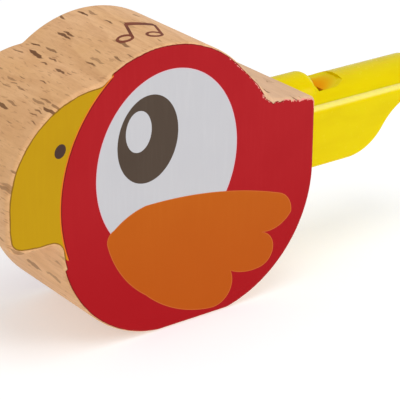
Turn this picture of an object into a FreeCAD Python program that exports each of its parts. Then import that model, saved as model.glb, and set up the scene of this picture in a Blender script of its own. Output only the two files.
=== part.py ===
"""Wooden bird with a yellow slide whistle for a tail: a parametric FreeCAD document.

Frame: X runs along the bird, from the beak (-X) to the whistle's mouthpiece (+X). Y is the
block's thickness and Z is up. The origin is the middle of the flat that the bird stands on.
"""
import FreeCAD, Part
import math
import os
import re
import Sketcher

DIMENSIONS = {
    # Wooden block and its outline, in the XZ plane
    "block_thick": 30.6,
    "base_corner_r": 6.0,
    "tail_face_x": 32.8,
    "tail_top_z": 45.2,
    "tail_slope": 9.5,
    "tail_corner_r": 1.6,
    "nape_notch_r": 1.5,
    "nape_slope": 46.5,
    "belly_right_r": 29.5,
    "belly_right_z": 28.9,
    "belly_left_r": 27.4,
    "belly_left_x": -6.4,
    "belly_left_z": 27.25,
    "head_r": 27.0,
    "head_x": -7.6,
    "head_z": 37.9,
    "brow_notch_r": 2.0,
    "brow_r": 23.3,
    "brow_z": 36.6,
    "beak_face_x": -46.4,
    "beak_under_z": 27.1,
    "beak_tip_r": 3.6,
    "beak_root_r": 2.4,
    "edge_round": 0.8,
    # Slide: a keyed tube in a blind bore, held in by a bush
    "slide_axis_z": 34.6,
    "slide_travel": 25.0,
    "stop_gap": 0.3,
    "running_gap": 0.05,
    "bore_r": 6.2,
    "bore_clear": 3.5,
    "bore_tip_angle": 59.0,
    "bush_outer_r": 7.5,
    "bush_length": 8.0,
    "lead_in": 0.6,
    "tube_outer_r": 5.0,
    "tube_inner_r": 4.1,
    "tube_in_head": 6.4,
    "collar_length": 8.0,
    "groove_r": 4.65,
    "groove_width": 1.6,
    "groove_inset": 1.2,
    "seal_section_r": 0.75,
    "key_width": 2.0,
    "key_rise": 0.8,
    # Whistle head
    "head_gap": 0.3,
    "mouth_tip_x": 75.0,
    "parting_z": 38.5,
    "keel_half": 8.4,
    "keel_bottom_z": 24.0,
    "keel_round": 0.75,
    "ledge_round": 1.5,
    "heel_x": 48.9,
    "heel_r": 12.8,
    "throat_r": 15.7,
    "throat_turn": 55.0,
    "tip_plan_r": 3.3,
    "shell_wall": 2.0,
    "crown_foot": 7.0,
    "crown_top_z": 42.1,
    "dome_foot": 5.42,
    "dome_foot_z": 39.93,
    "dome_top_z": 44.35,
    "dome_length": 9.6,
    "dome_rim_r": 2.3,
    "tip_round": 2.4,
    "socket_depth": 6.9,
    "window_half": 4.7,
    "window_gap": 2.6,
    "ramp_low_z": 40.0,
    "ramp_high_z": 41.45,
    "ramp_length": 5.4,
    "windway_half": 4.0,
    "windway_rise": 1.0,
    "lip_edge_rise": 0.7,
    "lip_back_rise": 2.0,
    "lip_thick": 1.5,
    "block_end_x": 64.0,
    "block_clear": 0.05,
}

ORIGIN_POINT = (-1, 1)
START = 1
END = 2
CENTRE = 3

doc = FreeCAD.newDocument("bird_whistle")
sheet = doc.addObject("Spreadsheet::Sheet", "dims")


def fill_sheet():
    """Write each driving dimension to a cell, with its name beside it as the alias."""
    for row, (name, number) in enumerate(DIMENSIONS.items(), start=1):
        sheet.set("A%d" % row, name)
        sheet.set("B%d" % row, str(number))
        sheet.setAlias("B%d" % row, name)
    doc.recompute()


def cells(expression):
    """Turn bare dimension names in an expression into references to the sheet."""
    return re.sub(r"[a-z_]+", lambda word: cell_name(word.group()), expression)


def cell_name(word):
    return "dims." + word if word in DIMENSIONS else word


def value(expression):
    """The present value of an expression of the sheet's cells."""
    result = sheet.evalExpression(cells(expression))
    return float(result.Value if hasattr(result, "Value") else result)


def bind(target, attribute, expression):
    """Tie a feature's property to the sheet."""
    target.setExpression(attribute, cells(expression))


def new_body(label):
    body = doc.addObject("PartDesign::Body", label)
    body.Label = label
    return body


def new_sketch(body, name, plane, offset=None):
    """A sketch on one of the body's origin planes, moved by expressions along its own axes."""
    sketch = body.newObject("Sketcher::SketchObject", name)
    support = [item for item in body.Origin.OriginFeatures if item.Role == plane][0]
    sketch.AttachmentSupport = [(support, "")]
    sketch.MapMode = "FlatFace"
    for axis, expression in (offset or {}).items():
        bind(sketch, "AttachmentOffset.Base." + axis, expression)
    return sketch


def fix(sketch, name, expression, *constraint):
    """Add a dimension to a sketch and tie it to the sheet."""
    number = value(expression)
    if constraint[0] == "Angle":
        number = math.radians(number)
        expression = "( " + expression + " ) * 1 deg"
    index = sketch.addConstraint(Sketcher.Constraint(*constraint, number))
    sketch.renameConstraint(index, name)
    bind(sketch, "Constraints." + name, expression)


def place(sketch, name, geometry, point, x=None, z=None):
    """Fix a point of the sketch by its own coordinates."""
    if x is not None:
        fix(sketch, name + "_x", x, "DistanceX", *ORIGIN_POINT, geometry, point)
    if z is not None:
        fix(sketch, name + "_z", z, "DistanceY", *ORIGIN_POINT, geometry, point)


def line(sketch, start, end):
    return sketch.addGeometry(Part.LineSegment(vector(start), vector(end)))


def arc(sketch, centre, radius, first, last):
    """An arc drawn anticlockwise between two angles in degrees."""
    circle = Part.Circle(vector(centre), FreeCAD.Vector(0, 0, 1), radius)
    return sketch.addGeometry(Part.ArcOfCircle(circle, math.radians(first), math.radians(last)))


def vector(point):
    return FreeCAD.Vector(point[0], point[1], 0)


def join(sketch, kind, first, first_point, second, second_point):
    """Join two curves' ends, smoothly (Tangent) or at a corner (Coincident)."""
    sketch.addConstraint(Sketcher.Constraint(kind, first, first_point, second, second_point))


def polygon(sketch, corners):
    """A closed outline of straight lines through corners given as pairs of expressions."""
    points = [(value(x), value(z)) for x, z in corners]
    lines = [line(sketch, points[i], points[(i + 1) % len(points)]) for i in range(len(points))]
    for i in lines:
        join(sketch, "Coincident", i, END, (i + 1) % len(lines), START)
        place(sketch, "corner_%d" % i, i, START, *corners[i])
    return lines


def circle(sketch, name, radius, x=None, z=None):
    """A full circle, at the sketch's origin unless its centre is given."""
    centre = (value(x or "0"), value(z or "0"))
    round_edge = sketch.addGeometry(
        Part.Circle(vector(centre), FreeCAD.Vector(0, 0, 1), value(radius)))
    fix(sketch, name + "_r", radius, "Radius", round_edge)
    place(sketch, name, round_edge, CENTRE, x or "0", z or "0")


def pad(body, name, sketch, length, centred=False):
    """Thicken a sketch along its normal, or equally to both sides."""
    feature = body.newObject("PartDesign::Pad", name)
    feature.Profile = sketch
    feature.SideType = "Symmetric" if centred else "One side"
    bind(feature, "Length", length)
    doc.recompute()
    return feature


def pocket(body, name, sketch, length, centred=False, reverse=False):
    """Cut a sketch into the body, and stop if nothing was removed."""
    before = body.Shape.Volume
    feature = body.newObject("PartDesign::Pocket", name)
    feature.Profile = sketch
    feature.SideType = "Symmetric" if centred else "One side"
    feature.Reversed = reverse
    bind(feature, "Length", length)
    doc.recompute()
    require_less(body, before, name)
    return feature


def turn(body, name, sketch, cut=False):
    """Revolve a profile about the sketch's own horizontal axis, as a solid or as a groove."""
    before = body.Shape.Volume if cut else 0.0
    feature = body.newObject("PartDesign::Groove" if cut else "PartDesign::Revolution", name)
    feature.Profile = sketch
    feature.ReferenceAxis = (sketch, ["H_Axis"])
    feature.Angle = 360.0
    doc.recompute()
    if cut:
        require_less(body, before, name)
    return feature


def require_less(body, before, name):
    if not body.Shape.Volume < before - 0.01:
        raise RuntimeError(name + " removed no material")


def edges_where(feature, test):
    """Names of the feature's edges whose bounding box passes a test."""
    edges = enumerate(feature.Shape.Edges, start=1)
    return ["Edge%d" % number for number, edge in edges if test(edge.BoundBox)]


def rounding(body, name, feature, radius, test):
    """Round the chosen edges of the body's latest feature."""
    names = edges_where(feature, test)
    if not names:
        raise RuntimeError(name + " found no edges")
    fillet = body.newObject("PartDesign::Fillet", name)
    fillet.Base = (feature, names)
    bind(fillet, "Radius", radius)
    doc.recompute()
    return fillet


def close_to(a, b):
    return abs(a - b) < 0.01


def on_side(box, half, level):
    """Whether an edge lies along a side of the whistle at a given height."""
    level_edge = close_to(box.ZMin, level) and close_to(box.ZLength, 0.0)
    return level_edge and close_to(box.YMin, box.YMax) and close_to(abs(box.YMin), half)


def polar(centre, radius, degrees):
    angle = math.radians(degrees)
    return (centre[0] + radius * math.cos(angle), centre[1] + radius * math.sin(angle))


def bird_outline(body):
    """The bird's profile: a flat to stand on, two belly arcs, a squared tail, a round head and
    a hooked beak, with small arcs in the notches between them."""
    sketch = new_sketch(body, "bird_outline", "XZ_Plane")
    base_r = value("base_corner_r")
    right_r = value("belly_right_r")
    right = (value("tail_face_x - belly_right_r"), value("belly_right_z"))
    left_r = value("belly_left_r")
    left = (value("belly_left_x"), value("belly_left_z"))
    head = (value("head_x"), value("head_z"))
    head_r = value("head_r")
    tail_x = value("tail_face_x")
    tail_z = value("tail_top_z")
    corner_r = value("tail_corner_r")
    brow = (value("beak_face_x + brow_r"), value("brow_z"))
    brow_r = value("brow_r")
    beak_x = value("beak_face_x")
    under_z = value("beak_under_z")
    tip_r = value("beak_tip_r")
    root_r = value("beak_root_r")
    notch_r = value("nape_notch_r")
    slope = value("tail_slope")
    nape = value("nape_slope")
    brow_notch_r = value("brow_notch_r")

    corner = (tail_x - corner_r, tail_z - corner_r)
    tail_lift = math.tan(math.radians(slope))
    nape_top = polar(head, head_r, 90.0 - nape)
    # Where the nape's line meets the tail's top, the small concave arc sits
    run = (nape_top[1] - tail_z - tail_lift * (tail_x - nape_top[0]))
    run = run / (math.tan(math.radians(nape)) - tail_lift)
    meet = (nape_top[0] + run, nape_top[1] - run * math.tan(math.radians(nape)))
    notch = (meet[0] + 0.5 * notch_r, meet[1] + notch_r)
    brow_notch = (brow[0], brow[1] + brow_r + brow_notch_r)
    root = (left[0] - left_r - root_r * 0.7, under_z - root_r)

    heel_drop = right[1] - base_r
    heel_turn = math.degrees(math.acos(heel_drop / (right_r - base_r)))
    heel = (right[0] + heel_drop * math.tan(math.radians(heel_turn)), base_r)
    toe_drop = left[1] - base_r
    toe_turn = math.degrees(math.acos(toe_drop / (left_r - base_r)))
    toe = (left[0] - toe_drop * math.tan(math.radians(toe_turn)), base_r)

    base_line = line(sketch, (toe[0], 0), (heel[0], 0))
    base_heel = arc(sketch, heel, base_r, 270.0, 270.0 + heel_turn)
    belly_right = arc(sketch, right, right_r, heel_turn - 90.0, 0.0)
    tail_face = line(sketch, (tail_x, right[1]), (tail_x, corner[1]))
    tail_corner = arc(sketch, corner, corner_r, 0.0, 90.0 - slope)
    tail_top = line(sketch, polar(corner, corner_r, 90.0 - slope), (notch[0], meet[1]))
    nape_notch = arc(sketch, notch, notch_r, 270.0 - nape, 270.0 - slope)
    nape_line = line(sketch, polar(notch, notch_r, 270.0 - nape), nape_top)
    head_arc = arc(sketch, head, head_r, 90.0 - nape, 123.0)
    brow_gap = arc(sketch, brow_notch, brow_notch_r, 270.0, 303.0)
    brow_arc = arc(sketch, brow, brow_r, 90.0, 180.0)
    beak_face = line(sketch, (beak_x, brow[1]), (beak_x, under_z + tip_r))
    beak_tip = arc(sketch, (beak_x + tip_r, under_z + tip_r), tip_r, 180.0, 270.0)
    beak_under = line(sketch, (beak_x + tip_r, under_z), (root[0], under_z))
    beak_root = arc(sketch, root, root_r, -10.0, 90.0)
    belly_left = arc(sketch, left, left_r, 172.0, 270.0 - toe_turn)
    base_toe = arc(sketch, toe, base_r, 270.0 - toe_turn, 270.0)

    join(sketch, "Tangent", base_line, END, base_heel, START)
    join(sketch, "Tangent", base_heel, END, belly_right, START)
    join(sketch, "Tangent", belly_right, END, tail_face, START)
    join(sketch, "Tangent", tail_face, END, tail_corner, START)
    join(sketch, "Tangent", tail_corner, END, tail_top, START)
    join(sketch, "Tangent", tail_top, END, nape_notch, END)
    join(sketch, "Tangent", nape_notch, START, nape_line, START)
    join(sketch, "Tangent", nape_line, END, head_arc, START)
    join(sketch, "Tangent", head_arc, END, brow_gap, END)
    join(sketch, "Tangent", brow_gap, START, brow_arc, START)
    join(sketch, "Tangent", brow_arc, END, beak_face, START)
    join(sketch, "Tangent", beak_face, END, beak_tip, START)
    join(sketch, "Tangent", beak_tip, END, beak_under, START)
    join(sketch, "Tangent", beak_under, END, beak_root, END)
    join(sketch, "Tangent", beak_root, START, belly_left, START)
    join(sketch, "Tangent", belly_left, END, base_toe, START)
    join(sketch, "Tangent", base_toe, END, base_line, START)

    sketch.addConstraint(Sketcher.Constraint("Horizontal", base_line))
    place(sketch, "floor", base_line, START, None, "0")
    fix(sketch, "heel_radius", "base_corner_r", "Radius", base_heel)
    fix(sketch, "toe_radius", "base_corner_r", "Radius", base_toe)
    fix(sketch, "right_radius", "belly_right_r", "Radius", belly_right)
    place(sketch, "right_centre", belly_right, CENTRE, None, "belly_right_z")
    sketch.addConstraint(Sketcher.Constraint("Vertical", tail_face))
    place(sketch, "tail_end", tail_face, END, "tail_face_x")
    fix(sketch, "corner_radius", "tail_corner_r", "Radius", tail_corner)
    place(sketch, "corner_centre", tail_corner, CENTRE, None, "tail_top_z - tail_corner_r")
    fix(sketch, "tail_angle", "180 - tail_slope", "Angle", tail_top)
    fix(sketch, "notch_radius", "nape_notch_r", "Radius", nape_notch)
    fix(sketch, "nape_angle", "180 - nape_slope", "Angle", nape_line)
    fix(sketch, "head_radius", "head_r", "Radius", head_arc)
    place(sketch, "head_centre", head_arc, CENTRE, "head_x", "head_z")
    fix(sketch, "brow_notch_radius", "brow_notch_r", "Radius", brow_gap)
    fix(sketch, "brow_radius", "brow_r", "Radius", brow_arc)
    place(sketch, "brow_centre", brow_arc, CENTRE, None, "brow_z")
    sketch.addConstraint(Sketcher.Constraint("Vertical", beak_face))
    place(sketch, "beak_front", beak_face, END, "beak_face_x")
    fix(sketch, "tip_radius", "beak_tip_r", "Radius", beak_tip)
    sketch.addConstraint(Sketcher.Constraint("Horizontal", beak_under))
    place(sketch, "beak_base", beak_under, START, None, "beak_under_z")
    fix(sketch, "root_radius", "beak_root_r", "Radius", beak_root)
    fix(sketch, "left_radius", "belly_left_r", "Radius", belly_left)
    place(sketch, "left_centre", belly_left, CENTRE, "belly_left_x", "belly_left_z")
    return sketch


def bird_body():
    """The beech block, its painted edges rounded, with the blind bore for the whistle's tube."""
    body = new_body("bird_body")
    block = pad(body, "block", bird_outline(body), "block_thick", centred=True)
    half = value("block_thick / 2")
    rounding(body, "edge_rounding", block, "edge_round",
             lambda box: close_to(box.YMin, box.YMax) and close_to(abs(box.YMin), half))
    bore = new_sketch(body, "bore_profile", "XZ_Plane", {"y": "slide_axis_z"})
    mouth = "tail_face_x"
    shoulder = "tail_face_x - bush_length"
    bottom = "tail_face_x - bush_length - slide_travel - stop_gap - collar_length - bore_clear"
    polygon(bore, [
        (mouth, "0"),
        (mouth, "bush_outer_r"),
        (shoulder, "bush_outer_r"),
        (shoulder, "bore_r"),
        (bottom, "bore_r"),
        (bottom + " - bore_r / tan( bore_tip_angle * 1 deg )", "0"),
    ])
    turn(body, "bore", bore, cut=True)
    return body


def bore_bush():
    """Bush pressed flush into the tail: it guides the tube, and its inner end is the stop."""
    body = new_body("bore_bush")
    profile = new_sketch(body, "bush_profile", "XZ_Plane", {"y": "slide_axis_z"})
    inner = "tail_face_x - bush_length"
    hole = "tube_outer_r + running_gap"
    polygon(profile, [
        (inner, hole),
        ("tail_face_x - lead_in", hole),
        ("tail_face_x", hole + " + lead_in"),
        ("tail_face_x", "bush_outer_r"),
        (inner, "bush_outer_r"),
    ])
    turn(body, "bush_ring", profile)
    slot = new_sketch(body, "keyway", "YZ_Plane", {"y": "slide_axis_z", "z": "tail_face_x"})
    side = "key_width / 2 + running_gap"
    low = "- ( tube_outer_r + key_rise + running_gap )"
    polygon(slot, [
        ("- ( " + side + " )", low),
        (side, low),
        (side, "- tube_inner_r"),
        ("- ( " + side + " )", "- tube_inner_r"),
    ])
    pocket(body, "keyway_cut", slot, "bush_length")
    return body


def collar_front():
    """Expression for the collar's front face when the whistle is pushed fully in."""
    return "tail_face_x - bush_length - slide_travel - stop_gap"


def slide_tube():
    """Tube that slides in the bore, with a grooved collar at its inner end and a key below."""
    body = new_body("slide_tube")
    profile = new_sketch(body, "tube_profile", "XZ_Plane", {"y": "slide_axis_z"})
    front = collar_front()
    back = front + " - collar_length"
    collar_r = "bore_r - running_gap"
    corners = [(back, "tube_inner_r"), (back, collar_r)]
    for start in (back + " + groove_inset", front + " - groove_inset - groove_width"):
        corners.append((start, collar_r))
        corners.append((start, "groove_r"))
        corners.append((start + " + groove_width", "groove_r"))
        corners.append((start + " + groove_width", collar_r))
    end = "tail_face_x + head_gap + tube_in_head"
    corners += [
        (front, collar_r),
        (front, "tube_outer_r"),
        (end, "tube_outer_r"),
        (end, "tube_inner_r"),
    ]
    polygon(profile, corners)
    turn(body, "tube", profile)
    rib = new_sketch(body, "key_section", "YZ_Plane", {"y": "slide_axis_z", "z": front})
    low = "- tube_outer_r - key_rise"
    high = "- ( tube_outer_r + tube_inner_r ) / 2"
    polygon(rib, [
        ("- key_width / 2", low),
        ("key_width / 2", low),
        ("key_width / 2", high),
        ("- key_width / 2", high),
    ])
    pad(body, "key", rib, "bush_length + slide_travel + stop_gap")
    return body


def seal_ring(label, groove_start):
    """Rubber ring in one of the collar's grooves."""
    body = new_body(label)
    profile = new_sketch(body, label + "_section", "XZ_Plane", {"y": "slide_axis_z"})
    circle(profile, "section", "seal_section_r", groove_start + " + groove_width / 2",
           "bore_r - running_gap * 0.8 - seal_section_r")
    turn(body, label + "_ring", profile)
    return body


def keel_curve(sketch, inset):
    """The whistle's underside: level, then up in an S to the mouthpiece. Returns its first and
    last curves, which run from the heel to the tip, moved inward by a wall thickness."""
    turn_angle = value("throat_turn")
    heel_centre = (value("heel_x"), value("keel_bottom_z + heel_r"))
    reach = value("heel_r + throat_r")
    throat_centre = polar(heel_centre, reach, turn_angle - 90.0)
    inner_heel = "heel_r - ( " + inset + " )"
    inner_throat = "throat_r + " + inset
    heel = arc(sketch, heel_centre, value(inner_heel), 270.0, 270.0 + turn_angle)
    throat = arc(sketch, throat_centre, value(inner_throat), 90.0, 90.0 + turn_angle)
    join(sketch, "Tangent", heel, END, throat, END)
    fix(sketch, "heel_radius", inner_heel, "Radius", heel)
    fix(sketch, "throat_radius", inner_throat, "Radius", throat)
    place(sketch, "heel_centre", heel, CENTRE, "heel_x", "keel_bottom_z + heel_r")
    fix(sketch, "throat_x", "heel_x + ( heel_r + throat_r ) * sin( throat_turn * 1 deg )",
        "DistanceX", *ORIGIN_POINT, throat, CENTRE)
    return heel, throat


def keel_profile(sketch, start, end, top, inset, tip_level=False):
    """A closed side profile: level top, square ends, and the keel's curve underneath."""
    heel, throat = keel_curve(sketch, inset)
    bottom = "keel_bottom_z + " + inset
    curve_end = sketch.getPoint(throat, START)
    corner = (value(end), curve_end.y)
    floor = line(sketch, (value(start), value(bottom)), (value("heel_x"), value(bottom)))
    join(sketch, "Tangent", floor, END, heel, START)
    front = line(sketch, (value(end), corner[1]), (value(end), value(top)))
    if tip_level:
        tip = line(sketch, (curve_end.x, curve_end.y), corner)
        join(sketch, "Tangent", throat, START, tip, START)
        join(sketch, "Coincident", tip, END, front, START)
        sketch.addConstraint(Sketcher.Constraint("Horizontal", tip))
    else:
        join(sketch, "Coincident", throat, START, front, START)
    lid = line(sketch, (value(end), value(top)), (value(start), value(top)))
    rear = line(sketch, (value(start), value(top)), (value(start), value(bottom)))
    join(sketch, "Coincident", front, END, lid, START)
    join(sketch, "Coincident", lid, END, rear, START)
    join(sketch, "Coincident", rear, END, floor, START)
    sketch.addConstraint(Sketcher.Constraint("Horizontal", floor))
    sketch.addConstraint(Sketcher.Constraint("Vertical", front))
    sketch.addConstraint(Sketcher.Constraint("Vertical", rear))
    place(sketch, "front_top", front, END, end, top)
    place(sketch, "rear_top", rear, START, start, top)


def head_face():
    return "tail_face_x + head_gap"


def gap_start():
    return "tail_face_x + head_gap + dome_length"


def gap_end():
    return "tail_face_x + head_gap + dome_length + window_gap"


def lower_shell():
    """Flat-sided keel of the whistle: a trough that holds the tube's end and the fipple block."""
    body = new_body("lower_shell")
    side = new_sketch(body, "keel_side", "XZ_Plane")
    keel_profile(side, head_face(), "mouth_tip_x", "parting_z", "0", tip_level=True)
    keel = pad(body, "keel", side, "keel_half * 2", centred=True)
    tip = value("mouth_tip_x")
    rounded = rounding(body, "tip_corners", keel, "tip_plan_r",
                       lambda box: close_to(box.XMin, tip) and box.ZLength > 0.5
                       and box.YLength < 0.01)
    half = value("keel_half")
    rounded = rounding(body, "keel_edges", rounded, "keel_round",
                       lambda box: on_side(box, half, value("keel_bottom_z")))
    rounding(body, "ledge_edges", rounded, "ledge_round",
             lambda box: on_side(box, half, value("parting_z")))
    trough = new_sketch(body, "trough_side", "XZ_Plane")
    keel_profile(trough, head_face() + " + tube_in_head - 0.5", "block_end_x", "parting_z",
                 "shell_wall")
    pocket(body, "trough", trough, "( keel_half - shell_wall ) * 2", centred=True)
    socket = new_sketch(body, "socket_hole", "YZ_Plane", {"y": "slide_axis_z", "z": head_face()})
    circle(socket, "socket", "tube_outer_r")
    pocket(body, "socket_cut", socket, "socket_depth", reverse=True)
    return body


def fipple_block():
    """Solid insert that fills the trough behind the window; its top is the windway's floor."""
    body = new_body("fipple_block")
    side = new_sketch(body, "block_side", "XZ_Plane")
    keel_profile(side, gap_end(), "block_end_x - block_clear", "parting_z",
                 "shell_wall + block_clear")
    pad(body, "insert", side, "( keel_half - shell_wall - block_clear ) * 2", centred=True)
    return body


def arched_section(sketch, foot, foot_z, top_z):
    """A segment of a circle: its half-width, the height of its flat side and of its top."""
    half = value(foot)
    rise = value(top_z + " - " + foot_z)
    radius = (half ** 2 + rise ** 2) / (2 * rise)
    centre = (0.0, rise - radius)
    first = math.degrees(math.atan2(-centre[1], half))
    crown = arc(sketch, centre, radius, first, 180.0 - first)
    chord = line(sketch, (-half, 0), (half, 0))
    join(sketch, "Coincident", crown, END, chord, START)
    join(sketch, "Coincident", chord, END, crown, START)
    place(sketch, "foot_left", chord, START, "- " + foot, "0")
    place(sketch, "foot_right", chord, END, foot, "0")
    height = "( " + top_z + " - " + foot_z + " )"
    fix(sketch, "crown_radius",
        "( " + foot + " * " + foot + " + " + height + " * " + height + " ) / ( 2 * " + height + " )",
        "Radius", crown)


def upper_shell():
    """Arched top of the whistle: a round dome by the bird, the window with its ramp, the lip
    that the air is blown against, and the windway's roof."""
    body = new_body("upper_shell")
    dome_section = new_sketch(
        body, "dome_section", "YZ_Plane", {"y": "dome_foot_z", "z": head_face()})
    arched_section(dome_section, "dome_foot", "dome_foot_z", "dome_top_z")
    dome = pad(body, "dome", dome_section, "dome_length")
    rim = value(gap_start())
    rounding(body, "dome_rim", dome, "dome_rim_r",
             lambda box: close_to(box.XMin, rim) and close_to(box.XMax, rim) and box.ZLength > 1)
    crown_section = new_sketch(
        body, "crown_section", "YZ_Plane", {"y": "parting_z", "z": head_face()})
    arched_section(crown_section, "crown_foot", "parting_z", "crown_top_z")
    crown = pad(body, "crown", crown_section, "mouth_tip_x - tail_face_x - head_gap")
    tip = value("mouth_tip_x")
    rounding(body, "mouth_tip", crown, "tip_round",
             lambda box: close_to(box.XMin, tip) and close_to(box.XMax, tip) and box.ZLength > 1)
    window = new_sketch(body, "window_side", "XZ_Plane")
    polygon(window, [
        (gap_start(), "parting_z"),
        (gap_end(), "parting_z"),
        (gap_end(), "ramp_low_z"),
        (gap_end() + " + ramp_length", "ramp_high_z"),
        (gap_end() + " + ramp_length", "dome_top_z + 1"),
        (gap_start(), "dome_top_z + 1"),
    ])
    pocket(body, "window_cut", window, "window_half * 2", centred=True)
    windway = new_sketch(body, "windway_side", "XZ_Plane")
    polygon(windway, [
        (gap_end() + " - 1", "parting_z"),
        ("mouth_tip_x + 1", "parting_z"),
        ("mouth_tip_x + 1", "parting_z + windway_rise"),
        (gap_end() + " - 1", "parting_z + windway_rise"),
    ])
    pocket(body, "windway_cut", windway, "windway_half * 2", centred=True)
    socket = new_sketch(body, "socket_hole", "YZ_Plane", {"y": "slide_axis_z", "z": head_face()})
    circle(socket, "socket", "tube_outer_r")
    pocket(body, "socket_cut", socket, "socket_depth", reverse=True)
    lip = new_sketch(body, "lip_side", "XZ_Plane")
    polygon(lip, [
        (gap_start() + " - lip_thick", "parting_z"),
        (gap_start(), "parting_z"),
        (gap_start(), "parting_z + lip_edge_rise"),
        (gap_start() + " - lip_thick", "parting_z + lip_back_rise"),
    ])
    pocket(body, "lip_cut", lip, "windway_half * 2", centred=True)
    return body


def check(parts):
    """Stop unless every feature recomputed and every piece is one sound solid."""
    for item in doc.Objects:
        if "Invalid" in item.State or "Error" in item.State:
            raise RuntimeError(item.Name + " did not recompute: " + str(item.State))
    for body in parts:
        shape = body.Shape
        if shape.isNull() or not shape.isValid() or len(shape.Solids) != 1:
            raise RuntimeError(body.Label + " is not one valid solid")


def main():
    fill_sheet()
    back_groove = collar_front() + " - collar_length + groove_inset"
    front_groove = collar_front() + " - groove_inset - groove_width"
    parts = [
        bird_body(),
        bore_bush(),
        slide_tube(),
        seal_ring("rear_seal_ring", back_groove),
        seal_ring("front_seal_ring", front_groove),
        lower_shell(),
        fipple_block(),
        upper_shell(),
    ]
    doc.recompute()
    check(parts)
    os.makedirs("parts", exist_ok=True)
    for body in parts:
        body.Placement = FreeCAD.Placement()
        body.Shape.exportStep("parts/" + body.Label + ".step")
        box = body.Shape.optimalBoundingBox(False)
        print("%-16s volume %8.1f  x %.1f..%.1f  y %.1f..%.1f  z %.1f..%.1f" % (
            body.Label, body.Shape.Volume, box.XMin, box.XMax, box.YMin, box.YMax,
            box.ZMin, box.ZMax))


main()
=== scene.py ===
import math

import bmesh
import bpy
from mathutils import Matrix, Vector, noise
from mathutils.bvhtree import BVHTree
from mathutils.geometry import delaunay_2d_cdt


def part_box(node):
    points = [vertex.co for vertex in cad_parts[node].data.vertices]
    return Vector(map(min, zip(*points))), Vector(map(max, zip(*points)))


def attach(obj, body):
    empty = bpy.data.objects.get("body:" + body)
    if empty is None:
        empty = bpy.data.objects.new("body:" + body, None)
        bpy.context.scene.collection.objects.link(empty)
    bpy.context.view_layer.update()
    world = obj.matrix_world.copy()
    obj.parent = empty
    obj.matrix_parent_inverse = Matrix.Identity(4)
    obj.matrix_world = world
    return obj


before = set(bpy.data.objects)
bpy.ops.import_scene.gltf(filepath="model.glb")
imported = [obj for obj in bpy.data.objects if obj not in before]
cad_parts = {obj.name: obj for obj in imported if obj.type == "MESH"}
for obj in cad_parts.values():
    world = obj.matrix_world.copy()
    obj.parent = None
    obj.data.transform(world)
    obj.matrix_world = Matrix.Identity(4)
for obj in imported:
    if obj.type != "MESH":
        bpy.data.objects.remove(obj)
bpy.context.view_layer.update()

MM = 0.001
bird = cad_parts["bird_body"]

# ---------------------------------------------------------------- painted picture, seen in XZ
EDGE_ROUND = 0.8          # radius of the rounding around the block's two faces
PAINT_REACH = 0.47        # how far the paint goes past the flat of the face, over the rounding
BEAK_REACH = 0.05         # and around the beak
BEAK_TOP_X = -20.4        # the yellow lies left of this and above the next
BEAK_FOOT_Z = 23.4
BEAK_RIM = 0.26           # width of the beak's worn brown edge
RED_RIM = 0.17            # width of the darker line along the red's upper left edge
CHIP_RIM = 0.50           # width of the pale chips up the nape and along the top of the tail
CHIPS_X = (8.0, 32.6)     # where the chips lie
CHIPS_DROP = 22.0         # and how far down from the head's top
CHIPS_LOW_Z = 40.0
SPLINTERS_X = (17.5, 32.2)            # the same for the paint's splintered edge
SPLINTERS_DROP = 21.0
RED_RIM_LINE = -22.0      # the red's darker line runs where X - Z is less than this
BEAK_WEAR_X = -20.5       # the beak's edge is worn left of this and above the next
BEAK_WEAR_Z = 21.0
BEAK_TIP = (-44.5, 27.5)  # most of all near here
TIP_WEAR_SPAN = 5.0
OUTLINE_STEP = 0.27       # spacing of the points along the picture's edge
ROUNDING_STEP = 0.8       # and along the lines that follow the block's rounded edge
NAPE_FOOT_X = 19.5        # the paint is rubbed off in the notch between the nape and the tail
NAPE_LOW_Z = 44.0
NAPE_WEAR = 0.75
NAPE_WEAR_SPAN = 3.4
# Lines along the block's rounded edge, by how far each lies outside the flat of the face
RIM_STEPS = (-0.12, 0.0, 0.16, 0.30, 0.42)
CHEST_ARC = (0.7, 33.7, 34.3)         # centre and radius of the line between beak and red
OVERPRINT = 0.26
UNDERLINE = 0.28          # a darker line just inside the red
EYE = (-6.91, 38.80, 18.04, 20.65, -5.6)      # centre, half-axes, tilt in degrees
EYE_INNER = (-6.91, 38.80, 18.04 - 0.2, 20.65 - 0.2, -5.6)
PUPIL = (-11.99, 45.23, 7.62, 9.69, -7.7)
GLINT = (-14.32, 47.39, 3.23, 4.56, -2.7)
NOSTRIL = (-33.43, 47.60, 1.28, 1.57, -27.6)
# The wing: corners joined by arcs; the third number is how far each arc bulges outward, as a
# share of half its chord
WING = (
    (-22.3, 23.3, 0.42),
    (-20.6, 26.9, 0.13),
    (-12.6, 30.4, 0.09),
    (23.4, 24.3, 0.34),
    (26.7, 19.0, 0.30),
    (18.5, 16.05, 0.84),
    (18.0, 7.6, 0.16),
    (10.0, 8.95, 0.58),
    (4.6, 1.45, 0.17),
    (-12.8, 9.6, 0.17),
)
ELLIPSE_POINTS = 120
EDGE_LINE = 0.17          # width of the pale line where one colour overlaps another
ARC_STEP = 0.7
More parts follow.
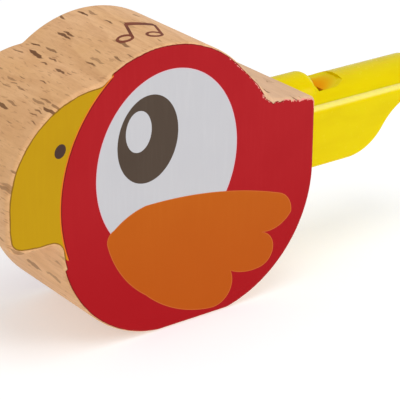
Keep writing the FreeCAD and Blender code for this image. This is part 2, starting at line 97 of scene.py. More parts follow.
# Each colour: height above the wood, material slot, and the regions that make it up, the first
# in its own colour and the others as finer lines in the colours beside them
LAYERS = {
    "beak": (0.040, "beak_paint", {"beak": "beak", "beak_rim": "beak_worn"}),
    "red": (0.048, "red_paint", {
        "red": "red", "red_rim": "red_dark", "underline": "red_dark", "chip": "chipped"}),
    "overprint": (0.046, "orange_paint", {"overprint": "overprint"}),
    "eye": (0.054, "white_paint", {"eye": "eye", "eye_line": "eye_edge"}),
    "pupil": (0.060, "brown_paint", {"pupil": "brown"}),
    "glint": (0.060, "white_paint", {"glint": "eye"}),
    "nostril": (0.052, "brown_paint", {"nostril": "nostril"}),
    "wing": (0.066, "orange_paint", {"wing": "orange", "wing_line": "orange_edge"}),
}
PAINT_DEPTH = 0.05        # how far each coat's hidden underside lies in the wood


def ellipse_points(shape):
    cx, cz, a, b, tilt = shape
    turn = math.radians(tilt)
    points = []
    for i in range(ELLIPSE_POINTS):
        t = 2 * math.pi * i / ELLIPSE_POINTS
        u = a * math.cos(t)
        v = b * math.sin(t)
        x = cx + u * math.cos(turn) - v * math.sin(turn)
        z = cz + u * math.sin(turn) + v * math.cos(turn)
        points.append((x, z))
    return points


def in_ellipse(shape, x, z):
    cx, cz, a, b, tilt = shape
    turn = math.radians(tilt)
    u = (x - cx) * math.cos(turn) + (z - cz) * math.sin(turn)
    v = (z - cz) * math.cos(turn) - (x - cx) * math.sin(turn)
    return (u / a) ** 2 + (v / b) ** 2 < 1.0


def arc_between(start, end, bulge):
    """Points from start up to, but not including, end along an arc that bulges to the left."""
    a = Vector(start)
    chord = Vector(end) - a
    half = chord.length / 2
    rise = bulge * half
    radius = (half * half + rise * rise) / (2 * rise)
    side = Vector((-chord.y, chord.x)).normalized()
    centre = a + chord / 2 - side * (radius - rise)
    first = math.atan2(a.y - centre.y, a.x - centre.x)
    sweep = 2 * math.asin(min(1.0, half / radius))
    if rise > radius:
        sweep = 2 * math.pi - sweep
    count = max(3, int(sweep * radius / ARC_STEP))
    points = []
    for i in range(count):
        angle = first - sweep * i / count
        points.append((centre.x + radius * math.cos(angle), centre.y + radius * math.sin(angle)))
    return points


def wing_points():
    points = []
    for i, (x, z, bulge) in enumerate(WING):
        after = WING[(i + 1) % len(WING)]
        points += arc_between((x, z), after[:2], bulge)
    return points


def shrunk(loop, distance):
    """The same outline moved inward; it runs clockwise, as the wing's does."""
    points = [Vector(p) for p in loop]
    return [tuple(p + n * distance) for p, n in zip(points, outward(points))]


def in_polygon(polygon, x, z):
    inside = False
    previous = polygon[-1]
    for point in polygon:
        if (point[1] > z) != (previous[1] > z):
            cross = (previous[0] - point[0]) * (z - point[1]) / (previous[1] - point[1])
            if x < point[0] + cross:
                inside = not inside
        previous = point
    return inside


def flat_face_loop(obj, half):
    """The outline of the block's flat front face, in mm, anticlockwise seen from the front."""
    mesh = obj.data
    following = {}
    count = {}
    for poly in mesh.polygons:
        if poly.normal.y > -0.9999 or abs(poly.center.y + half) > 1e-5:
            continue
        corners = []
        for index in poly.vertices:
            co = mesh.vertices[index].co
            corners.append((round(co.x / MM, 4), round(co.z / MM, 4)))
        for a, b in zip(corners, corners[1:] + corners[:1]):
            count[(a, b)] = count.get((a, b), 0) + 1
    for (a, b) in count:
        if (b, a) not in count:
            following[a] = b
    start = min(following)
    loop = [start]
    while following[loop[-1]] != start:
        loop.append(following[loop[-1]])
    return loop


def resample(loop, step):
    """Points at an even spacing along a closed outline."""
    points = [Vector(p) for p in loop]
    lengths = [(points[(i + 1) % len(points)] - points[i]).length for i in range(len(points))]
    total = sum(lengths)
    count = int(total / step)
    result = []
    i = 0
    walked = 0.0
    for k in range(count):
        target = total * k / count
        while walked + lengths[i] < target:
            walked += lengths[i]
            i += 1
        share = (target - walked) / lengths[i]
        result.append(points[i].lerp(points[(i + 1) % len(points)], share))
    return result


def outward(points):
    """Unit normals of an anticlockwise outline."""
    normals = []
    for i in range(len(points)):
        along = points[(i + 1) % len(points)] - points[i - 1]
        normals.append(Vector((along.y, -along.x)).normalized())
    return normals


def ripple(x, z, size, seed):
    """Smooth noise from -1 to 1, about one wave in each given length."""
    return noise.noise(Vector((x / size, z / size, seed)))


def paint_reach(p, top_z):
    """How far past the face's flat the paint reaches at a point of the outline."""
    x, z = p
    wobble = 0.06 * ripple(x, z, 1.7, 3.1) + 0.05 * ripple(x, z, 0.55, 8.7)
    if z > NAPE_LOW_Z:
        wobble -= NAPE_WEAR * max(0.0, 1.0 - abs(x - NAPE_FOOT_X) / NAPE_WEAR_SPAN)
    start, end = SPLINTERS_X
    if start < x < end and z > top_z - SPLINTERS_DROP:
        splinter = ripple(x, z, 0.75, 21.3) + 0.9 * ripple(x, z, 0.33, 5.9)
        fade = max(0.0, min(1.0, (x - start) / 1.5, (end - x) / 0.8))
        return PAINT_REACH + wobble - fade * (0.05 + 0.62 * max(0.0, splinter + 0.10))
    if x < BEAK_WEAR_X and z > BEAK_WEAR_Z:
        from_tip = math.hypot(x - BEAK_TIP[0], z - BEAK_TIP[1])
        tip_wear = 0.5 * max(0.0, 1.0 - from_tip / TIP_WEAR_SPAN)
        return BEAK_REACH + wobble + 0.08 * ripple(x, z, 4.0, 12.0) - tip_wear
    return PAINT_REACH + wobble


def chip_width(p, top_z):
    """How wide the pale chipped line is at a point of the outline."""
    x, z = p
    if not CHIPS_X[0] <= x <= CHIPS_X[1] or z < top_z - CHIPS_DROP:
        return 0.02
    bite = ripple(x, z, 0.9, 44.0) + 0.7 * ripple(x, z, 0.4, 13.0)
    return 0.02 + CHIP_RIM * max(0.0, 0.35 + bite)


class Face:
    """The painted picture as one flat triangulation, each triangle given to one colour."""

    def __init__(self, obj, half):
        flat = flat_face_loop(obj, half)
        self.flat = flat
        self.half = half / MM
        even = resample(flat, OUTLINE_STEP)
        normals = outward(even)
        top_z = max(p[1] for p in flat)
        self.paint = []
        self.beak_inner = []
        self.red_inner = []
        self.chip_inner = []
        for p, n in zip(even, normals):
            reach = paint_reach(p, top_z)
            thick = 1.0 + 0.45 * ripple(p.x, p.y, 2.3, 31.0)
            self.paint.append(tuple(p + n * reach))
            self.beak_inner.append(tuple(p + n * (reach - BEAK_RIM * thick)))
            self.red_inner.append(tuple(p + n * (reach - RED_RIM * thick)))
            self.chip_inner.append(tuple(p + n * (reach - chip_width(p, top_z))))
        self.wing = wing_points()
        self.wing_inner = shrunk(self.wing, EDGE_LINE)
        loops = [self.paint, self.beak_inner, self.red_inner, self.chip_inner]
        loops += [self.wing, self.wing_inner]
        coarse = resample(flat, ROUNDING_STEP)
        for step in RIM_STEPS:
            loops.append([tuple(p + n * step) for p, n in zip(coarse, outward(coarse))])
        loops.append(self.flat)
        for shape in (EYE, EYE_INNER, PUPIL, GLINT, NOSTRIL):
            loops.append(ellipse_points(shape))
        cx, cz, radius = CHEST_ARC
        for r in (radius - UNDERLINE, radius, radius + OVERPRINT):
            loops.append(ellipse_points((cx, cz, r, r, 0.0)))
        points = []
        edges = []
        for loop in loops:
            first = len(points)
            points += [Vector(p) for p in loop]
            size = len(loop)
            edges += [(first + i, first + (i + 1) % size) for i in range(size)]
        result = delaunay_2d_cdt(points, edges, [], 0, 1e-4, False)
        self.points = result[0]
        self.triangles = {}
        for triangle in result[2]:
            middle = sum((self.points[i] for i in triangle), Vector((0, 0))) / 3
            region = self.region(middle.x, middle.y)
            if region:
                self.triangles.setdefault(region, []).append(triangle)
        self.seat = [self.on_rounding(p) for p in self.points]

    def region(self, x, z):
        if not in_polygon(self.paint, x, z):
            return None
        if in_polygon(self.wing, x, z):
            return "wing" if in_polygon(self.wing_inner, x, z) else "wing_line"
        if in_ellipse(GLINT, x, z):
            return "glint"
        if in_ellipse(PUPIL, x, z):
            return "pupil"
        if in_ellipse(EYE, x, z):
            return "eye" if in_ellipse(EYE_INNER, x, z) else "eye_line"
        if in_ellipse(NOSTRIL, x, z):
            return "nostril"
        cx, cz, radius = CHEST_ARC
        reach = math.hypot(x - cx, z - cz)
        if x < BEAK_TOP_X and z > BEAK_FOOT_Z and reach > radius - UNDERLINE:
            if reach < radius:
                return "underline"
            if reach < radius + OVERPRINT:
                return "overprint"
            return "beak" if in_polygon(self.beak_inner, x, z) else "beak_rim"
        if x - z < RED_RIM_LINE and not in_polygon(self.red_inner, x, z):
            return "red_rim"
        if x > CHIPS_X[0] and z > CHIPS_LOW_Z and not in_polygon(self.chip_inner, x, z):
            return "chip"
        return "red"

    def on_rounding(self, p):
        """(drop below the face, normal) of the wood's rounded edge at a point of the picture."""
        if in_polygon(self.flat, p.x, p.y):
            return 0.0, Vector((0, 1, 0))
        nearest = None
        gap = 1e9
        for i in range(len(self.flat)):
            a = Vector(self.flat[i - 1])
            b = Vector(self.flat[i])
            along = b - a
            share = min(1.0, max(0.0, (p - a).dot(along) / along.length_squared))
            q = a + along * share
            if (p - q).length < gap:
                gap = (p - q).length
                nearest = q
        if gap < 1e-5:
            return 0.0, Vector((0, 1, 0))
        gap = min(gap, EDGE_ROUND * 0.98)
        lean = gap / EDGE_ROUND
        out = (p - nearest).normalized()
        rise = math.sqrt(1 - lean * lean)
        return EDGE_ROUND * (1 - rise), Vector((out.x * lean, rise, out.y * lean))

    def place(self, index, lift, side):
        p = self.points[index]
        drop, normal = self.seat[index]
        x = p.x + normal.x * lift
        y = self.half - drop + normal.y * lift
        z = p.y + normal.z * lift
        return Vector((x, side * y, z)) * MM


def new_object(name, bm, materials, body="bird"):
    mesh = bpy.data.meshes.new(name)
    bmesh.ops.recalc_face_normals(bm, faces=bm.faces)
    for face in bm.faces:
        face.smooth = True
    for edge in bm.edges:
        edge.smooth = edge.calc_face_angle(0.0) < math.radians(35)
    bm.to_mesh(mesh)
    bm.free()
    obj = bpy.data.objects.new(name, mesh)
    bpy.context.scene.collection.objects.link(obj)
    for material in materials:
        mesh.materials.append(material)
    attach(obj, body)
    return obj


def paint_coat(face, layer, side, name, paints):
    """One colour of the picture as a thin closed coat over the wood."""
    lift, slot, regions = LAYERS[layer]
    bm = bmesh.new()
    tops = {}
    bottoms = {}
    edge_use = {}
    for number, region in enumerate(regions):
        for triangle in face.triangles.get(region, []):
            for index in triangle:
                if index not in tops:
                    tops[index] = bm.verts.new(face.place(index, lift, side))
                    bottoms[index] = bm.verts.new(face.place(index, -PAINT_DEPTH, side))
            top = bm.faces.new([tops[i] for i in triangle])
            top.material_index = number
            bm.faces.new([bottoms[i] for i in reversed(triangle)])
            for a, b in zip(triangle, triangle[1:] + triangle[:1]):
                edge_use[(a, b)] = number
    for (a, b), number in edge_use.items():
        if (b, a) not in edge_use:
            wall = bm.faces.new([tops[b], tops[a], bottoms[a], bottoms[b]])
            wall.material_index = number
    return new_object(name, bm, [paints[key] for key in regions.values()])


# ---------------------------------------------------------------- materials
class Nodes:
    """A material's node tree, built by calls that give back their output sockets."""

    def __init__(self, name):
        self.material = bpy.data.materials.new(name)
        self.material.use_nodes = True
        self.tree = self.material.node_tree
        self.tree.nodes.clear()
        output = self.tree.nodes.new("ShaderNodeOutputMaterial")
        self.shader = self.tree.nodes.new("ShaderNodeBsdfPrincipled")
        self.tree.links.new(self.shader.outputs["BSDF"], output.inputs["Surface"])

    def node(self, kind, out=0, settings=None, **inputs):
        node = self.tree.nodes.new(kind)
        for key, value in (settings or {}).items():
            setattr(node, key, value)
        for key, value in inputs.items():
            socket = node.inputs[int(key[1:])] if key[0] == "i" else node.inputs[key]
            self.feed(socket, value)
        return node.outputs[out]

    def feed(self, socket, value):
        if isinstance(value, bpy.types.NodeSocket):
            self.tree.links.new(value, socket)
        else:
            socket.default_value = value

    def math(self, operation, *values, clamp=False):
        settings = {"operation": operation, "use_clamp": clamp}
        inputs = {"i%d" % i: value for i, value in enumerate(values)}
        return self.node("ShaderNodeMath", 0, settings, **inputs)

    def vector(self, operation, *values):
        inputs = {"i%d" % i: value for i, value in enumerate(values)}
        return self.node("ShaderNodeVectorMath", 0, {"operation": operation}, **inputs)

    def smooth(self, value, low, high):
        """0 at low and before it, 1 at high and past it, smooth between; low may be the larger."""
        node = self.tree.nodes.new("ShaderNodeMapRange")
        node.interpolation_type = "SMOOTHSTEP"
        self.feed(node.inputs["Value"], value)
        if low < high:
            node.inputs["From Min"].default_value = low
            node.inputs["From Max"].default_value = high
        else:
            node.inputs["From Min"].default_value = high
            node.inputs["From Max"].default_value = low
            node.inputs["To Min"].default_value = 1.0
            node.inputs["To Max"].default_value = 0.0
        return node.outputs["Result"]

    def mix(self, share, a, b, blend="MIX"):
        node = self.tree.nodes.new("ShaderNodeMix")
        node.data_type = "RGBA"
        node.blend_type = blend
        self.feed(node.inputs["Factor"], share)
        self.feed(node.inputs[6], a)
        self.feed(node.inputs[7], b)
        return node.outputs[2]

    def noise(self, where, scale, detail=2.0, rough=0.5):
        node = self.tree.nodes.new("ShaderNodeTexNoise")
        self.feed(node.inputs["Vector"], where)
        node.inputs["Scale"].default_value = scale
        node.inputs["Detail"].default_value = detail
        node.inputs["Roughness"].default_value = rough
        return node.outputs["Fac"]

    def bump(self, height, strength, distance_mm):
        node = self.tree.nodes.new("ShaderNodeBump")
        node.inputs["Strength"].default_value = strength
        node.inputs["Distance"].default_value = distance_mm * MM
        self.feed(node.inputs["Height"], height)
        return node.outputs["Normal"]

    def split(self, where):
        """The X, Y and Z outputs of a vector."""
        node = self.tree.nodes.new("ShaderNodeSeparateXYZ")
        self.feed(node.inputs["Vector"], where)
        return node.outputs

    def cells(self, where, scale):
        """Scattered cells: the distance to each one's middle, and its random Red, Green, Blue."""
        node = self.tree.nodes.new("ShaderNodeTexVoronoi")
        self.feed(node.inputs["Vector"], where)
        node.inputs["Scale"].default_value = scale
        chance = self.tree.nodes.new("ShaderNodeSeparateColor")
        self.feed(chance.inputs["Color"], node.outputs["Color"])
        return node.outputs["Distance"], chance.outputs

    def millimetres(self):
        where = self.node("ShaderNodeTexCoord", 3)
        return self.scaled(where, (1 / MM,) * 3)

    def scaled(self, where, factors):
        return self.vector("MULTIPLY", where, Vector(factors))


def srgb(red, green, blue):
    """Scene colour from the 0-255 values seen on a screen."""
    linear = []
    for level in (red, green, blue):
        c = level / 255
        linear.append(c / 12.92 if c <= 0.04045 else ((c + 0.055) / 1.055) ** 2.4)
    return (*linear, 1.0)


RAY_TILT = -38.0          # degrees between X and the wood's rays, which run from pith to bark
RING_SPACING = 3.4
# Flecks: how many per mm along the rays, along the fibres and across both, their size as a
# share of that spacing, and how soft their edges are
LARGE_FLECKS = ((0.17, 0.135, 1.10), 0.31, 0.35)
SMALL_FLECKS = ((0.30, 0.36, 2.3), 0.28, 0.60)
TOWARD_BEAK_X = (4.0, -32.0)          # the flecks grow denser from one to the other
AT_TAIL_X = (12.0, 22.0)              # the wood turns paler and pinker
ABOVE_CHIN_Z = (19.0, 29.0)           # there are few flecks under the beak
BEECH = {
    "pale": srgb(238, 190, 142),
    "golden": srgb(230, 180, 126),
    "ring": srgb(190, 132, 84),
    "fibre": srgb(184, 130, 84),
    "bright": srgb(236, 186, 136),
    "pore": srgb(166, 112, 72),
    "tail": srgb(216, 182, 154),
    "beak": srgb(212, 158, 104),
    "small_fleck": srgb(150, 98, 58),
    "large_fleck": srgb(98, 58, 28),
}


def beech_material():
    """Beech whose fibres run along Y: pores, growth rings and the short dark ray flecks."""
    n = Nodes("beech_wood")
    mm = n.millimetres()
    turn = n.tree.nodes.new("ShaderNodeVectorRotate")
    turn.rotation_type = "Y_AXIS"
    turn.inputs["Angle"].default_value = math.radians(RAY_TILT)
    n.feed(turn.inputs["Vector"], mm)
    grain = turn.outputs["Vector"]          # X along the rays, Y along the fibres

    sway = n.noise(n.scaled(grain, (0.05, 0.030, 0.05)), 1.0, 2.0)
    drift = n.math("MULTIPLY", n.math("SUBTRACT", sway, 0.5), 16.0)
    across = n.math("ADD", n.split(grain)["X"], drift)
    ring = n.math("FRACT", n.math("MULTIPLY", across, 1 / RING_SPACING))
    ring_tone = n.math("MAXIMUM", n.smooth(ring, 0.40, 0.97), n.smooth(ring, 0.10, 0.0))

    fibre = n.noise(n.scaled(grain, (1.5, 0.10, 1.5)), 1.0, 3.0, 0.55)
    pores = n.noise(n.scaled(grain, (7.0, 0.8, 7.0)), 1.0, 2.0, 0.6)
    cloud = n.noise(n.scaled(grain, (0.10, 0.06, 0.10)), 1.0, 3.0)
    mottle = n.noise(n.scaled(grain, (0.9, 0.35, 0.9)), 1.0, 2.0)

    tone = n.mix(n.smooth(cloud, 0.3, 0.7), BEECH["pale"], BEECH["golden"])
    tone = n.mix(n.math("MULTIPLY", ring_tone, 0.26), tone, BEECH["ring"])
    tone = n.mix(n.math("MULTIPLY", n.smooth(fibre, 0.58, 0.36), 0.26), tone, BEECH["fibre"])
    tone = n.mix(n.math("MULTIPLY", n.smooth(mottle, 0.5, 0.75), 0.45), tone, BEECH["bright"])
    tone = n.mix(n.math("MULTIPLY", n.smooth(pores, 0.46, 0.30), 0.22), tone, BEECH["pore"])

    zone = n.noise(n.scaled(grain, (0.05, 0.04, 0.09)), 1.0, 2.0)
    place = n.split(mm)
    toward_beak = n.smooth(place["X"], *TOWARD_BEAK_X)
    at_tail = n.smooth(place["X"], *AT_TAIL_X)
    tone = n.mix(n.math("MULTIPLY", at_tail, 0.55), tone, BEECH["tail"])
    tone = n.mix(n.math("MULTIPLY", toward_beak, 0.30), tone, BEECH["beak"])

    wave = n.noise(n.scaled(grain, (0.30, 0.34, 0.30)), 1.0, 2.0)
    wavy = n.node("ShaderNodeCombineXYZ", 0, None, Z=n.math("MULTIPLY", wave, 1.3))
    swayed = n.vector("ADD", grain, wavy)
    above_chin = n.smooth(place["Z"], *ABOVE_CHIN_Z)
    common = n.math("ADD", n.math("MULTIPLY", toward_beak, 0.66), n.math("MULTIPLY", zone, 0.40))
    common = n.math("MULTIPLY", common, n.math("ADD", 0.15, n.math("MULTIPLY", above_chin, 0.85)))
    faint = n.math("ADD", common, 0.12)
    large = fleck_mask(n, swayed, common, *LARGE_FLECKS)
    small = fleck_mask(n, swayed, faint, *SMALL_FLECKS)
    tone = n.mix(n.math("MULTIPLY", small, 0.50), tone, BEECH["small_fleck"])
    tone = n.mix(n.math("MULTIPLY", large, 0.95), tone, BEECH["large_fleck"])
    n.feed(n.shader.inputs["Base Color"], tone)

    rough = n.math("ADD", 0.46, n.math("MULTIPLY", fibre, 0.14))
    rough = n.math("ADD", rough, n.math("MULTIPLY", large, 0.2), clamp=True)
    n.feed(n.shader.inputs["Roughness"], rough)
    n.shader.inputs["Specular IOR Level"].default_value = 0.25
    height = n.math("SUBTRACT", n.math("MULTIPLY", fibre, 0.5), n.math("MULTIPLY", large, 0.6))
    height = n.math("ADD", height, n.math("MULTIPLY", pores, 0.3))
    height = n.math("SUBTRACT", height, n.math("MULTIPLY", small, 0.25))
    n.feed(n.shader.inputs["Normal"], n.bump(height, 0.5, 0.05))
    return n.material


def fleck_mask(n, where, limit, density, size, soft):
    """Lens-shaped flecks scattered through the wood, more of them where limit is higher."""
    distance, chance = n.cells(n.scaled(where, density), 1.0)
    present = n.smooth(n.math("SUBTRACT", limit, chance["Red"]), 0.0, 0.12)
    reach = n.math("MULTIPLY", n.math("ADD", 0.55, chance["Green"]), size)
    inside = n.math("SUBTRACT", reach, distance)
    shape = n.smooth(inside, 0.0, soft * size)
    strength = n.math("ADD", 0.35, n.math("MULTIPLY", chance["Blue"], 0.65))
    return n.math("MULTIPLY", n.math("MULTIPLY", shape, present), strength)


SHADE_BELOW_Z = (42.0, 8.0)            # painted shade: a paint's darker colour toward the bottom grows from one Z to the other
SPECKS_PER_MM = 0.30


def paint_material(name, roughness, colour, lighter, darker, low=None):
    """Satin paint on end grain: faint upright streaks, clouding and tiny speck dimples. It may
    be darkened toward the bottom, in the colour low, as painted shade."""
    n = Nodes(name)
    mm = n.millimetres()
    streak = n.noise(n.scaled(mm, (1.5, 1.0, 0.10)), 1.0, 3.0, 0.6)
    cloud = n.noise(mm, 0.09, 3.0)
    tone = n.mix(n.math("MULTIPLY", n.smooth(streak, 0.45, 0.75), 0.30), colour, lighter)
    tone = n.mix(n.math("MULTIPLY", n.smooth(cloud, 0.42, 0.70), 0.35), tone, darker)
    if low:
        # Painted shade: the paint darkens toward the bottom, where less light reaches it.
        share = n.math("MULTIPLY", n.smooth(n.split(mm)["Z"], *SHADE_BELOW_Z), 0.8)
        tone = n.mix(share, tone, low)
    distance, chance = n.cells(mm, SPECKS_PER_MM)
    rare = n.smooth(chance["Red"], 0.80, 0.84)
    dot = n.math("MULTIPLY", n.smooth(distance, 0.055, 0.03), rare)
    tone = n.mix(n.math("MULTIPLY", dot, 0.35), tone, lighter)
    n.feed(n.shader.inputs["Base Color"], tone)
    fine = n.noise(mm, 5.0, 2.0)
    rough = n.math("ADD", roughness, n.math("MULTIPLY", n.math("SUBTRACT", fine, 0.5), 0.12))
    n.feed(n.shader.inputs["Roughness"], rough)
    n.shader.inputs["Specular IOR Level"].default_value = 0.10
    height = n.math("ADD", n.math("MULTIPLY", streak, 0.6), n.math("MULTIPLY", fine, 0.25))
    height = n.math("SUBTRACT", height, dot)
    n.feed(n.shader.inputs["Normal"], n.bump(height, 0.35, 0.05))
    return n.material


GLOW_DEPTH_MM = 1.2       # how far light soaks into the yellow plastic
CROWN_ARCH = (33.4, 8.67)  # height of the whistle's arched top's axis, and its radius
DEEP_START_X = (41.6, 42.6)  # the painted orange shade fades in between these
DEEP_END_X = (49.0, 53.5)    # and out between these


def deep_inside(n, mm):
    """How deep a point lies under the whistle's arched top, from 0 at the skin to 1."""
    place = n.split(mm)
    centre_z, radius = CROWN_ARCH
    up = n.math("SUBTRACT", place["Z"], centre_z)
    square = n.math("ADD", n.math("POWER", up, 2.0), n.math("POWER", place["Y"], 2.0))
    depth = n.math("SUBTRACT", radius, n.math("SQRT", square))
    start = n.smooth(place["X"], DEEP_START_X[0], DEEP_START_X[1])
    end = n.smooth(place["X"], DEEP_END_X[1], DEEP_END_X[0])
    return n.math("MULTIPLY", n.math("MULTIPLY", n.smooth(depth, 0.25, 2.0), start), end)


# Where the painted highlight along the whistle's ledge lies
LEDGE_SIDE = (8.38, 8.05)  # across the rounded ledge, from its flat side inward
LEDGE_RISE = (37.3, 37.9)
LEDGE_TOP = (38.54, 38.49)
LEDGE_END_X = (72.0, 68.0)


def ledge_highlight_mask(n, mm):
    """Where the painted highlight lies: 1 along the rounded ledge at the foot of the whistle's
    arched top, 0 elsewhere.
    """
    place = n.split(mm)
    mask = n.smooth(n.math("ABSOLUTE", place["Y"]), *LEDGE_SIDE)
    mask = n.math("MULTIPLY", mask, n.smooth(place["Z"], *LEDGE_RISE))
    mask = n.math("MULTIPLY", mask, n.smooth(place["Z"], *LEDGE_TOP))
    return n.math("MULTIPLY", mask, n.smooth(place["X"], *LEDGE_END_X))


def plastic_material(name, colour, deeper, roughness):
    """The nodes of a glossy moulded plastic, with faint flow marks and handling haze."""
    n = Nodes(name)
    mm = n.millimetres()
    flow = n.noise(n.scaled(mm, (0.08, 0.25, 0.25)), 1.0, 3.0)
    haze = n.noise(mm, 0.9, 4.0, 0.6)
    n.feed(n.shader.inputs["Base Color"], n.mix(n.smooth(flow, 0.4, 0.7), colour, deeper))
    rough = n.math("ADD", roughness, n.math("MULTIPLY", n.smooth(haze, 0.45, 0.8), 0.10))
    n.feed(n.shader.inputs["Roughness"], rough)
    n.shader.inputs["Specular IOR Level"].default_value = 0.35
    grain = n.noise(mm, 2.2, 3.0)
    n.feed(n.shader.inputs["Normal"], n.bump(grain, 0.05, 0.05))
    return n


def yellow_plastic():
    """The whistle's translucent yellow, with painted orange shade deep inside its window and a
    painted highlight along the ledge. orange where it is deep, pale where it is thin.
    """
    n = plastic_material("yellow_plastic", srgb(229, 206, 0), srgb(225, 200, 0), 0.22)
    n.shader.inputs["Specular IOR Level"].default_value = 0.11
    n.shader.inputs["Specular Tint"].default_value = (1.0, 0.92, 0.30, 1.0)
    mm = n.millimetres()
    tone = n.shader.inputs["Base Color"].links[0].from_socket
    deep = deep_inside(n, mm)
    # Painted shade: the hollow under the window is tinted orange where it lies deep, standing in
    # for the light bounced about inside it.
    tone = n.mix(deep, tone, srgb(234, 148, 0))
    polish = n.shader.inputs["Roughness"].links[0].from_socket
    n.feed(n.shader.inputs["Roughness"], n.math("ADD", polish, n.math("MULTIPLY", deep, 0.6)))
    # Painted highlight: the base colour turns pale yellow along the rounded ledge, where the light
    # catches it.
    tone = n.mix(n.math("MULTIPLY", ledge_highlight_mask(n, mm), 0.68), tone, srgb(255, 240, 140))
    n.feed(n.shader.inputs["Base Color"], tone)
    n.shader.inputs["Subsurface Weight"].default_value = 0.4
    n.shader.inputs["Subsurface Radius"].default_value = (1.0, 0.68, 0.04)
    n.shader.inputs["Subsurface Scale"].default_value = GLOW_DEPTH_MM * MM
    return n.material


def dress(node, material):
    """Give a CAD node a better material in its own slots."""
    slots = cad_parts[node].data.materials
    for i in range(len(slots)):
        slots[i] = material
    if not slots:
        slots.append(material)


# ---------------------------------------------------------------- burned mark on the head
# A pair of joined notes in a small plane of its own, U to the right and V up, in mm
MARK_CENTRE = (-6.9, -4.2)     # where its middle lies, in XY
MARK_TURN = -24.0              # degrees from X to the mark's own right
MARK_LIFT = 0.02
MARK_LINE = 0.85
NOTE_HEADS = ((-3.3, -4.0), (3.1, -3.0))
NOTE_HEAD = (1.65, 1.45, 24.0)  # half-axes and tilt of a note's ringed head
STEM_TOPS = ((-1.75, 4.2), (4.65, 5.2))


def burned_mark(material):
    """Two joined notes burned into the wood, following the head's curve."""
    surface = BVHTree.FromObject(bird, bpy.context.evaluated_depsgraph_get())
    turn = math.radians(MARK_TURN)
    bm = bmesh.new()

    def on_wood(u, v, lift):
        x = MARK_CENTRE[0] + u * math.cos(turn) - v * math.sin(turn)
        y = MARK_CENTRE[1] + u * math.sin(turn) + v * math.cos(turn)
        hit, normal, _, _ = surface.ray_cast(Vector((x * MM, y * MM, 1.0)), Vector((0, 0, -1)))
        return hit + normal * lift * MM

    def stroke(path, widths, closed=False):
        rows = []
        for i, (u, v) in enumerate(path):
            after = path[(i + 1) % len(path)] if closed or i + 1 < len(path) else path[i]
            before = path[i - 1] if closed or i else path[i]
            along = (Vector(after) - Vector(before)).normalized()
            side = Vector((-along.y, along.x)) * widths[i] / 2
            row = []
            for sign, lift in ((-1, MARK_LIFT), (1, MARK_LIFT), (1, -0.05), (-1, -0.05)):
                row.append(bm.verts.new(on_wood(u + sign * side.x, v + sign * side.y, lift)))
            rows.append(row)
        pairs = list(zip(rows, rows[1:] + rows[:1] if closed else rows[1:]))
        for a, b in pairs:
            for k in range(4):
                bm.faces.new([a[k], a[(k + 1) % 4], b[(k + 1) % 4], b[k]])
        if not closed:
            bm.faces.new(rows[0])
            bm.faces.new(list(reversed(rows[-1])))

    def straight(start, end, width):
        count = 9
        path = [tuple(Vector(start).lerp(Vector(end), i / count)) for i in range(count + 1)]
        stroke(path, [width] * len(path))

    for head, top in zip(NOTE_HEADS, STEM_TOPS):
        ring = ellipse_points((*head, *NOTE_HEAD))[::4]
        stroke(ring, [MARK_LINE * (1 + 0.25 * math.sin(i / 2.5)) for i in range(len(ring))], True)
        straight((top[0], head[1] + 0.35), top, MARK_LINE * 0.8)
    straight(STEM_TOPS[0], STEM_TOPS[1], MARK_LINE * 2.4)
    return new_object("burned_mark", bm, [material])


# ---------------------------------------------------------------- build
# Each paint: its material's name, its colour with a lighter and a darker tone of it and for some
# a painted shade colour toward the bottom, and its roughness
PAINTS = {
    "beak": ("beak_paint", (
        (190, 147, 0), (196, 155, 0), (184, 140, 0)), 0.55),
    "beak_worn": ("beak_paint_worn", (
        (146, 104, 20), (160, 118, 36), (132, 92, 18)), 0.6),
    "red": ("red_paint", (
        (173, 20, 28), (180, 30, 36), (166, 12, 22), (166, 0, 14)), 0.5),
    "red_dark": ("red_paint_dark", (
        (128, 14, 10), (138, 20, 16), (116, 8, 8)), 0.5),
    "chipped": ("red_paint_chipped", (
        (238, 152, 140), (244, 172, 160), (226, 130, 120)), 0.6),
    "overprint": ("overprint_paint", (
        (228, 118, 30), (236, 132, 44), (214, 104, 20)), 0.5),
    "eye": ("white_paint", (
        (197, 196, 199), (204, 203, 205), (193, 192, 196)), 0.48),
    "eye_edge": ("white_paint_edge", (
        (214, 186, 194), (220, 196, 202), (208, 176, 186)), 0.48),
    "brown": ("brown_paint", (
        (79, 65, 54), (87, 73, 62), (74, 59, 48)), 0.5),
    "nostril": ("nostril_paint", (
        (74, 52, 44), (82, 60, 50), (68, 48, 40)), 0.5),
    "orange": ("orange_paint", (
        (189, 93, 6), (196, 103, 18), (183, 87, 0), (184, 82, 0)), 0.5),
    "orange_edge": ("orange_paint_edge", (
        (202, 104, 40), (210, 116, 52), (194, 96, 30)), 0.5),
}


def build():
    beech = beech_material()
    yellow = yellow_plastic()
    acetal = plastic_material(
        "white_acetal", srgb(228, 226, 218), srgb(214, 212, 204), 0.38).material
    rubber = plastic_material("black_rubber", srgb(34, 34, 35), srgb(24, 24, 25), 0.55).material
    dress("bird_body", beech)
    dress("bore_bush", acetal)
    for node in ("slide_tube", "lower_shell", "upper_shell", "fipple_block"):
        dress(node, yellow)
    for node in ("rear_seal_ring", "front_seal_ring"):
        dress(node, rubber)

    paints = {}
    for key, (name, colours, roughness) in PAINTS.items():
        paints[key] = paint_material(name, roughness, *[srgb(*rgb) for rgb in colours])
    face = Face(bird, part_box("bird_body")[1].y)
    for side, label in ((-1, "front"), (1, "back")):
        for layer in LAYERS:
            paint_coat(face, layer, side, "paint_%s_%s" % (layer, label), paints)
    burn = plastic_material("burned_wood", srgb(128, 60, 32), srgb(102, 46, 24), 0.65).material
    burned_mark(burn)


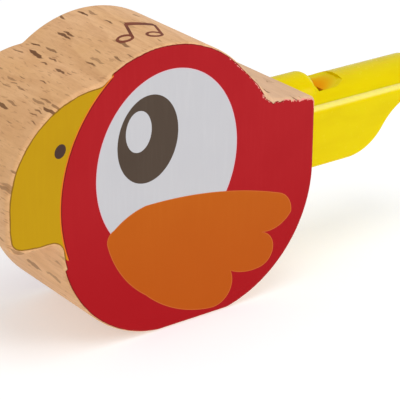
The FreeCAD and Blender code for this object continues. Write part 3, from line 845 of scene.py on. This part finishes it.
# ---------------------------------------------------------------- floor, light and camera
CAMERA_AIM_MM = (1.5, -15.3, 28.1)
CAMERA_AZIMUTH = -36.583
CAMERA_ELEVATION = 23.794
CAMERA_ROLL = 0.49
CAMERA_DISTANCE_MM = 420.0
CAMERA_LENS = 177.0
FLOOR_SIZE = 3.0
WORLD_LIGHT = 0.58
# Each soft panel: azimuth and elevation seen from the object, distance and size in m, watts
PANELS = {
    "overhead_panel": (-30.0, 74.0, 0.9, 0.6, 2.6),
    "right_panel": (38.0, 22.0, 1.1, 0.55, 3.2),
}
PANEL_AIM = Vector((0, 0, 0.03))
FLOOR_GLOW = 0.37         # the floor is a lit table, which keeps the shadows pale


def make_floor():
    bm = bmesh.new()
    bmesh.ops.create_grid(bm, x_segments=8, y_segments=8, size=FLOOR_SIZE)
    mesh = bpy.data.meshes.new("floor")
    bm.to_mesh(mesh)
    bm.free()
    floor = bpy.data.objects.new("floor", mesh)
    bpy.context.scene.collection.objects.link(floor)
    n = Nodes("floor_paper")
    mottle = n.noise(n.millimetres(), 0.02, 2.0)
    n.feed(n.shader.inputs["Base Color"], n.mix(mottle, srgb(223, 224, 225), srgb(225, 226, 227)))
    n.shader.inputs["Roughness"].default_value = 0.9
    n.shader.inputs["Specular IOR Level"].default_value = 0.1
    n.shader.inputs["Emission Color"].default_value = (0.98, 0.99, 1.0, 1.0)
    n.shader.inputs["Emission Strength"].default_value = FLOOR_GLOW
    mesh.materials.append(n.material)


def area_light(name, azimuth, elevation, distance, size, power):
    """A soft panel that faces the object; azimuth 0 stands in front of the painted face."""
    light = bpy.data.lights.new(name, "AREA")
    light.shape = "DISK"
    light.size = size
    light.energy = power
    lamp = bpy.data.objects.new(name, light)
    bpy.context.scene.collection.objects.link(lamp)
    place = direction(azimuth, elevation) * distance + PANEL_AIM
    lamp.location = place
    lamp.rotation_euler = (PANEL_AIM - place).to_track_quat("-Z", "Y").to_euler()


def direction(azimuth, elevation):
    """From the object toward a viewer; azimuth 0 looks along +Y, elevation is above level."""
    turn = math.radians(azimuth)
    rise = math.radians(elevation)
    return Vector((
        math.sin(turn) * math.cos(rise),
        -math.cos(turn) * math.cos(rise),
        math.sin(rise),
    ))


def make_lights():
    world = bpy.data.worlds.new("studio")
    bpy.context.scene.world = world
    world.use_nodes = True
    backdrop = world.node_tree.nodes["Background"]
    backdrop.inputs["Color"].default_value = (1.0, 1.0, 1.0, 1.0)
    backdrop.inputs["Strength"].default_value = WORLD_LIGHT
    for name, settings in PANELS.items():
        area_light(name, *settings)


def make_camera():
    data = bpy.data.cameras.new("camera")
    data.sensor_width = 36.0
    data.lens = CAMERA_LENS
    data.clip_start = 0.01
    data.clip_end = 20.0
    camera = bpy.data.objects.new("camera", data)
    bpy.context.scene.collection.objects.link(camera)
    back = direction(CAMERA_AZIMUTH, CAMERA_ELEVATION)
    right = Vector((0, 0, 1)).cross(back).normalized()
    up = back.cross(right)
    roll = math.radians(CAMERA_ROLL)
    tilted_right = right * math.cos(roll) + up * math.sin(roll)
    tilted_up = back.cross(tilted_right)
    turn = Matrix((tilted_right, tilted_up, back)).transposed().to_4x4()
    place = Vector(CAMERA_AIM_MM) * MM + back * CAMERA_DISTANCE_MM * MM
    camera.matrix_world = Matrix.Translation(place) @ turn
    bpy.context.scene.camera = camera
    bpy.context.scene.view_settings.view_transform = "Standard"


make_camera()
make_lights()
make_floor()
build()
